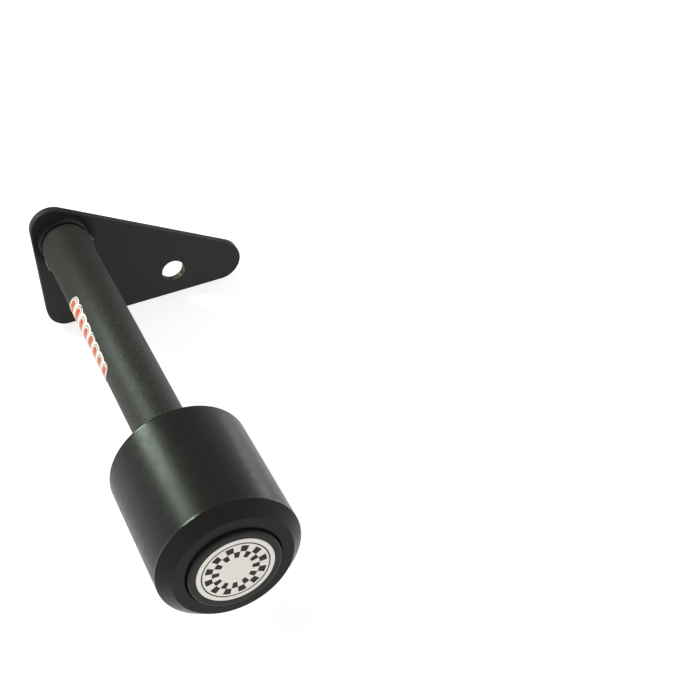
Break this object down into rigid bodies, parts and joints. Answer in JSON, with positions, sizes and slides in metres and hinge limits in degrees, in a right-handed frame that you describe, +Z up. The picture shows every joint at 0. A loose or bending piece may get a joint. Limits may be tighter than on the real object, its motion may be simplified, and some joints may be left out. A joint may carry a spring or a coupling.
{
  "type": "motorcycle frame slider",
  "caption": "Motorcycle crash protector: a chamfered plastic puck with an end cap, on a steel tube that is bolted to a flat triangular mounting plate.",
  "frame": {"origin": "centre of the frame bolt hole, on the plate's frame-side face", "axes": "-Y points outwards from the motorcycle along the tube to the puck, +Z is up, and +X runs along the plate's bottom edge towards its tip"},
  "size_m": [0.1309, 0.268, 0.0892],
  "materials": {
    "plate_paint": "satin black paint",
    "tube_powder_coat": "fine-textured black powder coat",
    "black_steel": "blackened steel",
    "turned_steel": "turned steel",
    "label_print": "glossy printed vinyl",
    "puck_plastic": "satin turned black plastic",
    "cap_plastic": "satin moulded black plastic",
    "badge_silver": "satin silver"
  },
  "bodies": {
    "root": {"plate": "plate_paint", "plate_boss": "plate_paint", "plate_bolt": "black_steel", "tube": "tube_powder_coat", "inner_plug": "turned_steel", "outer_plug": "turned_steel", "inner_plug_welds": "tube_powder_coat", "outer_plug_welds": "tube_powder_coat", "tube_label": "label_print", "puck": "puck_plastic", "puck_washer": "turned_steel", "puck_bolt": "black_steel", "end_cap": "cap_plastic", "cap_badge": "badge_silver"}
  },
  "joints": []
}
